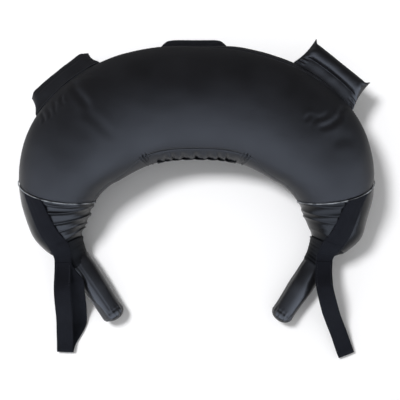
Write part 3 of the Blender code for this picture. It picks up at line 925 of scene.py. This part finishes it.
def strap_angle(side, run):
    """The middle of the strap round the section at a run past the hem."""
    start = hem_at(STRAP_HEM_ANGLE[side])
    share = min(max((run - start) / (STRAP_SPLIT - start), 0), 1) ** STRAP_TURN[side]
    return STRAP_HEM_ANGLE[side] + (STRAP_NECK_ANGLE[side] - STRAP_HEM_ANGLE[side]) * share


def neck_trim(side, run, angle):
    """The outer side of each horn: fuller above the neck and drawn in at it by the strap."""
    outer = max(0.0, math.cos(angle)) ** 2
    full, drawn = NECK_TRIM[side]
    return outer * (full * bell(run - NECK_FULL_RUN, 0.018) - drawn * smooth((run - NECK_DRAWN_RUN) / 0.017))


def wrap_stand(side, run, angle=0.0):
    """How far the wrap stands off the neck: wound and gathered on the left, a flat band on the right."""
    along = (run - WRAP_START) / (SPINE_LENGTH - WRAP_START)
    base = 0.0022 + 0.0008 * along
    if side < 0:
        wound = abs(math.sin(math.pi * (3.5 * along + 0.35 * math.sin(angle - 0.6)))) ** 0.6
        gather = abs(math.sin(angle * 9 + 1.5 * math.sin(3 * angle) + along)) ** 0.7
        return base + 0.0008 * wound * (1 - along) + 0.0011 * gather * smooth((along - 0.2) / 0.5)
    edge = bell((run - WRAP_START) - 0.0022, 0.0016)
    return base + 0.0003 + 0.0010 * edge + 0.00025 * math.sin(run * 900 + 2 * angle)


def strap_form(side):
    """The strap's surface down the front of a horn, from under the hem to the wrap."""
    size = sizes()

    def place(along, across):
        angle = STRAP_HEM_ANGLE[side]
        for _ in range(3):
            start = hem_at(angle) + CLEARANCE
            run = start + (STRAP_SPLIT - start) * along
            middle = strap_angle(side, run)
            angle = middle + (across - 0.5) * size.strap_width / girth_rate(run, middle)
        over_wrap = smooth((run - WRAP_START + 0.012) / 0.012) * WRAP_WALL
        wander = 0.0004 * ripple(Vector((run, across * 0.02, 0)), 0.03, side)
        return bag_point(side * run, angle, grow=0.0008 + size.webbing + over_wrap + wander)

    return place


class BAG_OT_side_straps(BothSides, bpy.types.Operator):
    """Make the webbing strap down the front of each horn, and its crossing over the neck"""

    bl_idname = "bag.side_straps"
    bl_label = "Side straps"

    def make(self, side, name):
        size = sizes()
        strap, loop = strap_form(side), loop_form(side)

        def lay(along, across):
            return along * STRAP_LENGTH, across * size.strap_width

        def upper(along, across):
            return strap(along * STRAP_FREE, across)

        def crossing(t, across):
            """From the strap's end to the loop's start, on a smooth curve over the wrap."""
            start, end = strap(STRAP_FREE - 0.01, across), loop(0, across)
            end.z += size.webbing / 2
            reach = (end - start).length
            away = (start - strap(STRAP_FREE - 0.07, across)).normalized() * reach
            onward = (loop(0.03, across) - loop(0, across)).normalized() * reach
            here = start * (2 * t**3 - 3 * t**2 + 1) + away * (t**3 - 2 * t**2 + t)
            here += end * (3 * t**2 - 2 * t**3) + onward * (t**3 - t**2)
            return here + Vector((0, 0, 0.0012 * math.sin(math.pi * t)))

        def webbing(piece, steps, place, *nodes):
            made = laid(name + piece, steps, place, flip=side > 0, lay=lay)
            thicken(made, size.webbing)
            return dress(made, nylon_webbing(), "webbing", None, *nodes)

        swing_bend(webbing("_strap", (70, 14), upper, name + "_side_strap"), side, name)
        for part, first, last, bend in (
            ("upper", 0.0, CROSSING_SPLIT, swing_bend),
            ("lower", CROSSING_SPLIT, 1.0, flex_bend),
        ):

            def stretch(along, across, first=first, last=last):
                return crossing(first + (last - first) * along, across)

            bend(webbing("_strap_crossing_" + part, (24, 14), stretch), side, name)


class BAG_OT_neck_wraps(BothSides, bpy.types.Operator):
    """Make the wrap round each neck"""

    bl_idname = "bag.neck_wraps"
    bl_label = "Neck wraps"

    def make(self, side, name):
        length = SPINE_LENGTH - WRAP_START
        split = (PIVOT_RUN - FLEX_START - WRAP_START) / length
        for part, first, last, bend, nodes in (
            ("_wrap", split - 0.005, 1.0, flex_bend, [name + "_neck_wrap"]),
            ("_wrap_top", 0.0, split, swing_bend, []),
        ):

            def place(step, across, first=first, last=last):
                along = first + (last - first) * step
                run = WRAP_START + length * along
                angle = FULL_TURN * across
                tuck = -0.0016 * (bell(along, 0.04) + bell(1 - along, 0.05))
                trim = neck_trim(side, run, angle) - 0.0025 * max(0.0, math.cos(angle)) ** 2 * (1 - along)
                over = 0.0002 if last == 1.0 else 0.0
                return bag_point(side * run, angle, grow=wrap_stand(side, run, angle) + tuck + trim + over)

            made = laid(name + part, (40, 64), place, closed=True, flip=side > 0)
            thicken(made, WRAP_WALL)
            dress(made, darkened_leather(), "wrap", None, *nodes)
            bend(made, side, name)


class BAG_OT_handles(BothSides, bpy.types.Operator):
    """Make the padded leather handle of each horn"""

    bl_idname = "bag.handles"
    bl_label = "Handles"

    def make(self, side, name):
        size = sizes()
        radius, length = size.handle_radius, size.handle_length
        tip = length - radius * HANDLE_TIP_SHARE
        start, way = horn(side)
        way = (way * length - Vector((0, 0, HANDLE_DIP))).normalized()
        start += section(side * PIVOT_RUN)[1] * HANDLE_SHIFT[side]
        turned = Vector((0, 0, 1)).rotation_difference(way).to_matrix()
        opening = math.asin(HANDLE_OPENING / radius)
        rows = []
        for step in range(9):
            angle = opening + (math.pi / 2 - opening) * step / 8
            rows.append((-radius * math.cos(angle), radius * math.sin(angle)))
        rows += [(tip * step / 60, radius) for step in range(1, 60)]
        for step in range(17):
            angle = math.pi / 2 * (1 - step / 16)
            run = length - radius * HANDLE_TIP_SHARE * (1 - math.cos(angle))
            rows.append((run, radius * math.sin(angle)))

        def relief(here, run, reach, turn):
            """The seam, the gathers at the tip, the flare and creases at the root, and the lumps."""
            lumps = 0.0006 * ripple(here, 0.03, side + 11)
            seam = -0.0010 * bell((turn - 2.2) * radius, 0.0012)
            near_tip = smooth((run - tip + 0.012) / 0.012) * smooth(reach / (radius * 0.5))
            gather = 0.0007 * near_tip * math.cos(14 * turn + 2 * math.sin(turn))
            ring = -0.0008 * bell(run - tip + 0.0015, 0.0013)
            flare = 0.0030 * smooth(1 - (run - 0.045) / 0.075) * smooth((run + radius) / radius)
            crease = 0.0007 * bell(run - 0.022, 0.018) * math.sin(turn * 7 + 2 * math.sin(turn * 2))
            return lumps + seam + gather + ring + flare + crease

        def place(along, across):
            run, reach = rows[round(along * (len(rows) - 1))]
            turn = FULL_TURN * across
            here = Vector((reach * math.cos(turn), reach * math.sin(turn), run))
            if reach > MM:
                share = 1 + relief(here, run, reach, turn) / reach
                here.x *= share
                here.y *= share
            return start + turned @ here

        made = laid(name + "_handle_tube", (len(rows) - 1, 72), place, closed=True)
        close_holes(made)
        rolled = pu_leather("PU leather, rolled", (0.26, 0.36), coat=0.25)
        dress(made, rolled, "handle_leather", name + "_handle", name + "_handle_cover")


def loop_form(side):
    """The loop's surface: a level strap out over the handle's root, folded at its far end and back below."""
    size = sizes()
    stretch, splay = size.loop_length / LOOP_LENGTH, LOOP_SPLAY[side]
    root = Vector((*LOOP_LINE[side][0], LOOP_ROOT_HEIGHT))
    shares = [((x - root.x) * stretch, (y - root.y) * stretch) for x, y in LOOP_LINE[side]]
    out = section(side * SPINE_LENGTH)[1]
    ply_gap = size.webbing + CLEARANCE
    first = [2 * a - b for a, b in zip(shares[0], shares[1])]
    last = [2 * a - b for a, b in zip(shares[-1], shares[-2])]
    line = [first, *shares, last]

    def run_point(share):
        spans = len(shares) - 1
        step = min(int(share * spans), spans - 1)
        across, ahead = curve_through(*line[step : step + 4], share * spans - step)
        return Vector((across, ahead, 0))

    def place(along, across):
        share = math.sin(math.pi / 2 * min(2 * along, 2 - 2 * along))
        back = along > 0.5
        turn = smooth((share - 0.93) / 0.07)
        gap = ply_gap + (LOOP_FOLD_RADIUS * 2 - ply_gap) * smooth(share)
        gap += LOOP_SPREAD * math.sin(math.pi * share) ** 2
        lower = (LOOP_REST_HEIGHT - root.z) * smooth((share - 0.2) / 0.5)
        upper = lower + gap
        ply = (upper - lower) / 2 * math.sqrt(max(0, 1 - turn**2)) * (-1 if back else 1)
        height = (upper + lower) / 2 + ply
        inward = -side * splay * smooth(share / 0.24) * smooth((1 - share) / 0.36) if back else 0
        ahead = run_point(min(share + 0.02, 1)) - run_point(max(share - 0.02, 0))
        level = Vector((-ahead.y, ahead.x, 0)).normalized()
        level = level if level.dot(out) < 0 else -level
        leaned = level * math.cos(LOOP_REST_TILT) + Vector((0, 0, math.sin(LOOP_REST_TILT)))
        wide = leaned.lerp(level, smooth(share / LOOP_LEVEL_SHARE)).normalized() * size.webbing_width
        cup = 0.0009 * (1 - (2 * across - 1) ** 2) * smooth(share / 0.3) * (-1 if back else 1)
        return root + run_point(share) + wide * (across - 0.5) + Vector((inward, 0, height + cup))

    return place


class BAG_OT_hand_loops(BothSides, bpy.types.Operator):
    """Make the webbing loop at each horn"""

    bl_idname = "bag.hand_loops"
    bl_label = "Hand loops"

    def make(self, side, name):
        size = sizes()
        place = loop_form(side)
        root, free = place(0, 0.5), place(0.09, 0.5)

        def lay(along, across):
            return 2 * along * size.loop_length, across * size.webbing_width

        made = laid(name + "_loop_webbing", (200, 10), place, lay=lay)
        thicken(made, size.webbing, offset=0.0)
        dress(made, nylon_webbing(), "webbing", None, name + "_hand_loop")
        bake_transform(made)
        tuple(root)
        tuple(free)
        for edge in (0.1, 0.9):
            points = []
            for step in range(41):
                along = 0.012 + 0.075 * step / 40
                here = place(along, edge)
                beside = place(along, edge + 0.02) - here
                ahead = place(along + 0.004, edge) - here
                up = ahead.cross(beside).normalized()
                up = up if up.z > 0 else -up
                points.append((here + up * size.webbing / 2, up))
            sewn = stitch_row(f"{name}_loop_stitches_{int(edge * 10)}", points, None)
            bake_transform(sewn)
            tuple(root)
            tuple(free)



# The crown


def top_form():
    """The crown handle's surface: narrow at its sewn ends, wide and tilted back in the middle."""
    size = sizes()
    lay = Vector((0, -math.sin(TOP_TILT), math.cos(TOP_TILT)))
    off = Vector((0, math.cos(TOP_TILT), math.sin(TOP_TILT)))

    def place(along, across):
        reach = 2 * along - 1
        inner = smooth((1 - abs(reach)) / TOP_RISE_SHARE)
        widened = smooth((1 - abs(reach)) / TOP_WIDEN_SHARE)
        width = TOP_END_WIDTH + (size.crown_width - TOP_END_WIDTH) * widened
        foot = bag_point(reach * TOP_HALF_RUN + TOP_SHIFT, TOP_ROOT_ANGLE, grow=TOP_ROOT_LIFT)
        cup = 0.0012 * inner * (1 - (2 * across - 1) ** 2)
        return foot + Vector((0, TOP_RISE * inner, 0)) + lay * width * (across - 0.5) + off * cup

    return place


class BAG_OT_crown_handle(bpy.types.Operator):
    """Make the webbing handle on the crown"""

    bl_idname = "bag.crown_handle"
    bl_label = "Crown handle"

    def execute(self, context):
        size = sizes()

        def lay(along, across):
            return 2 * along * TOP_HALF_RUN, across * size.crown_width

        made = laid("crown_handle_webbing", (90, 14), top_form(), lay=lay)
        thicken(made, size.webbing, offset=0.0)
        dress(made, nylon_webbing(), "webbing", "top_strap", "top_handle")
        return {"FINISHED"}


def grip_frame(side):
    """The ways along a grip's root, out from the bag there, up the grip, and off its face."""
    tilt = GRIP_TILT[side]
    half = GRIP_ROOT_HALF_RUN / 2
    along = (bag_point(side * GRIP_RUN + half, 0) - bag_point(side * GRIP_RUN - half, 0)).normalized()
    out = Vector((-along.y, along.x, 0))
    stand = out * math.cos(tilt) + Vector((0, 0, math.sin(tilt)))
    return along, out, stand, stand.cross(along)


class BAG_OT_grips(BothSides, bpy.types.Operator):
    """Make the padded grip on each shoulder"""

    bl_idname = "bag.grips"
    bl_label = "Shoulder grips"

    def make(self, side, name):
        size = sizes()
        along_way, way_out, stand, off = grip_frame(side)
        root = bag_point(side * GRIP_RUN, 0) + way_out * GRIP_ROOT_LIFT
        roll_middle = GRIP_STAND - GRIP_ROLL_RADIUS
        ply = size.leather + CLEARANCE
        join = GRIP_JOIN[side]

        def swell(reach):
            return math.sqrt(max(0, 1 - smooth((abs(reach) - 0.72) / 0.28) ** 2))

        def place(along, across):
            reach = 2 * along - 1
            thick = ply + (GRIP_ROLL_RADIUS - ply) * swell(reach)
            edge = min(across, 1 - across)
            if edge < 0.25:
                tail = edge / 0.25
                joined = roll_middle + GRIP_ROLL_RADIUS * math.cos(join)
                out = (joined + GRIP_TAIL_PAST) * tail - GRIP_TAIL_PAST
                lift = ply + (thick * math.sin(join) - ply) * smooth(tail)
                lift = lift if across == edge else -lift
            else:
                angle = join * (1 - (across - 0.25) * 4)
                out = roll_middle + GRIP_ROLL_RADIUS * math.cos(angle)
                lift = thick * math.sin(angle)
            longer = GRIP_LONGER[side] * smooth((-reach - 0.3) / 0.7)
            run = side * GRIP_RUN + GRIP_ROOT_HALF_RUN * reach - longer
            foot = bag_point(run, 0) + way_out * GRIP_ROOT_LIFT
            waist = GRIP_WAIST * reach * math.sin(math.pi * min(max(out / GRIP_STAND, 0), 1))
            edge_line = root + along_way * (GRIP_HALF_LENGTH * reach - longer) + stand * GRIP_STAND
            here = foot + (edge_line - foot) * (out / GRIP_STAND) + off * lift - along_way * waist
            ear = smooth((abs(reach) - 0.84) / 0.16) ** 1.6
            here += stand * (GRIP_EAR * ear - 0.0022) * smooth((out - 0.030) / 0.018)
            pulled = smooth((abs(reach) - 0.70) / 0.3) * (1 - ear * 0.6)
            fold = GRIP_FOLD[side] * pulled * math.sin(22 * across * math.pi)
            lumps = 0.0008 * ripple(here, 0.024, side + 21) * swell(reach)
            return here + off * (fold + lumps) * (1 if lift > 0 else -1)

        made = laid(name + "_grip_leather", (90, 96), place, flip=True)
        thicken(made, size.leather)
        soft = pu_leather(f"PU leather, soft, {name}", GRIP_ROUGHNESS[side], coat=GRIP_COAT[side])
        dress(made, soft, "handle_leather", name + "_grip", name + "_grip_cover")


class BAG_OT_stitching(bpy.types.Operator):
    """Sew the seams: rows of stitches beside the panel seams and the hems"""

    bl_idname = "bag.stitching"
    bl_label = "Stitching"

    def execute(self, context):
        for name, edge_at, off in (("outer", front_edge, -1), ("inner", inner_edge, 1)):
            points = []
            for step in range(401):
                run = (2 * step / 400 - 1) * (HEM_RUN - 0.004)
                edge = edge_at(run)
                angle = edge + off * SEAM_STITCH / girth_rate(run, edge)
                points.append(self.sewn(run, angle, SEAM_STITCH, name + "_gusset"))
            stitch_row(name + "_seam_stitches", points, "bag")
        for side, name in SIDES:
            points = []
            for step in range(121):
                angle = math.radians(-20) + math.radians(220) * step / 120
                run = side * (hem_at(angle) - HEM_STITCH)
                points.append(self.sewn(run, angle, HEM_STITCH, "front_panel"))
            stitch_row(name + "_hem_stitches", points, "bag")
        return {"FINISHED"}

    def sewn(self, run, angle, to_seam, panel):
        """A point on the cover, and the way out from it."""
        here = bag_point(run, angle, grow=cover_relief(run, angle, to_seam, panel))
        return here, (bag_point(run, angle, grow=0.01) - bag_point(run, angle)).normalized()



class BAG_OT_filling(bpy.types.Operator):
    """Give the liner, the filling and the foam cores their finishes"""

    bl_idname = "bag.filling"
    bl_label = "Liner and filling"

    def execute(self, context):
        tint = colours()
        finishes = {
            "liner": rough_cloth("Cotton canvas", tint.canvas, 2 * MM, 0.0003),
            "sand": rough_cloth("Bagged sand", tint.sand, 1 * MM, 0.0004),
            "wool": rough_cloth("Wool waste", tint.wool, 6 * MM, 0.0012),
            "core": rough_cloth("Polyethylene foam", tint.foam, 1 * MM, 0.0002),
        }
        for node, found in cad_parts.items():
            for word, finish in finishes.items():
                if word in node:
                    found.data.materials.clear()
                    found.data.materials.append(finish)
        return {"FINISHED"}


class BAG_OT_stage(bpy.types.Operator):
    """Set up the pale studio floor, the soft light and the camera"""

    bl_idname = "bag.stage"
    bl_label = "Studio"

    def execute(self, context):
        self.floor()
        self.lights(context.scene)
        camera = bpy.data.objects.new("Camera", bpy.data.cameras.new("Camera"))
        context.scene.collection.objects.link(camera)
        camera.location = CAMERA_PLACE
        camera.data.lens = camera.data.sensor_width * VIEW_DISTANCE / VIEW_WIDTH
        context.scene.camera = camera
        context.scene.view_settings.view_transform = "Standard"
        return {"FINISHED"}

    def floor(self):
        """A pale floor. Reflections see it darker behind the crown and past the horns."""
        bm = bmesh.new()
        below = Matrix.Translation((0, 0, -FLOOR_DROP))
        bmesh.ops.create_circle(bm, cap_ends=True, segments=64, radius=FLOOR_RADIUS, matrix=below)
        floor = made_from("studio_floor", bm)
        material, tree = start_material("Painted studio floor")
        place = wire(tree, "TexCoord").outputs["Object"]
        cloud = wire(tree, "TexNoise", Vector=place, Scale=3.0)
        tint = colours().floor
        base = ramp(tree, cloud, [c * 0.99 for c in tint], tint)
        ahead = wire(tree, "SeparateXYZ", place).outputs[1]
        middle = wire(tree, "Math", ahead, 0.26, operation="ADD")
        off = wire(tree, "Math", middle, operation="ABSOLUTE")
        far = wire(tree, "MapRange", off, 0.10, 0.34)
        glossy = wire(tree, "LightPath").outputs["Is Glossy Ray"]
        dim = wire(tree, "Math", far, glossy, operation="MULTIPLY")
        seen = wire(tree, "Mix", data_type="RGBA", _0=dim, _6=base, _7=REFLECTED_FLOOR)
        finish_material(material, Base_Color=seen.outputs[2], Roughness=0.9, IOR=1.4)
        floor.data.materials.append(material)

    def lights(self, scene):
        """Room light and a lamp. Reflections see the room dark behind the crown, bright before the horns."""
        scene.world = bpy.data.worlds.new("Studio")
        scene.world.use_nodes = True
        tree = scene.world.node_tree
        tree.nodes.clear()
        path = wire(tree, "LightPath")
        way = wire(tree, "SeparateXYZ", wire(tree, "TexCoord").outputs["Generated"])
        aside = wire(tree, "Math", way.outputs[0], operation="ABSOLUTE")
        behind = wire(tree, "Math", aside, -0.40, way.outputs[1], operation="MULTIPLY_ADD")
        low = wire(tree, "MapRange", behind, 0.28, -1.0, interpolation_type="SMOOTHSTEP")
        tone = wire(tree, "Mix", data_type="RGBA", _0=low, _6=REFLECTED_DARK, _7=REFLECTED_BRIGHT)
        soft = wire(tree, "Background", tone.outputs[2], 1.0)
        room = wire(tree, "Background", (1, 1, 1, 1), ROOM_LIGHT)
        seen = wire(tree, "Background", (1, 1, 1, 1), 1.0)
        lit = wire(tree, "MixShader", path.outputs["Is Glossy Ray"], room, soft)
        wire(tree, "OutputWorld", Surface=wire(tree, "MixShader", path.outputs["Is Camera Ray"], lit, seen))
        data = bpy.data.lights.new("key_light", "AREA")
        data.shape = "DISK"
        data.size = LAMP_SIZE
        data.energy = LAMP_WATTS
        data.color = linear("#fdfdff")
        lamp = bpy.data.objects.new("key_light", data)
        scene.collection.objects.link(lamp)
        lamp.location = LAMP_PLACE
        lamp.rotation_euler = (Vector(LAMP_TARGET) - Vector(LAMP_PLACE)).to_track_quat("-Z", "Y").to_euler()
        lamp.visible_glossy = False


OPERATORS = (
    BAG_OT_cover,
    BAG_OT_closure,
    BAG_OT_end_panels,
    BAG_OT_hems,
    BAG_OT_side_straps,
    BAG_OT_neck_wraps,
    BAG_OT_handles,
    BAG_OT_hand_loops,
    BAG_OT_crown_handle,
    BAG_OT_grips,
    BAG_OT_stitching,
    BAG_OT_filling,
    BAG_OT_stage,
)


class BAG_PT_panel(bpy.types.Panel):
    """The bag's sizes, colours and pieces"""

    bl_idname = "BAG_PT_panel"
    bl_label = "Bulgarian Bag"
    bl_space_type = "VIEW_3D"
    bl_region_type = "UI"
    bl_category = "Bag"

    def draw(self, context):
        for group in (context.scene.bag_sizes, context.scene.bag_colours):
            box = self.layout.box()
            for key in group.__annotations__:
                box.prop(group, key)
        for operator in OPERATORS:
            self.layout.operator(operator.bl_idname)


CLASSES = (BagSizes, BagColours, *OPERATORS, BAG_PT_panel)


def register():
    for each in CLASSES:
        bpy.utils.register_class(each)
    bpy.types.Scene.bag_sizes = bpy.props.PointerProperty(type=BagSizes)
    bpy.types.Scene.bag_colours = bpy.props.PointerProperty(type=BagColours)


def unregister():
    del bpy.types.Scene.bag_sizes
    del bpy.types.Scene.bag_colours
    for each in reversed(CLASSES):
        bpy.utils.unregister_class(each)


def main():
    register()
    for operator in OPERATORS:
        group, name = operator.bl_idname.split(".")
        getattr(getattr(bpy.ops, group), name)()


if __name__ == "__main__":
    main()
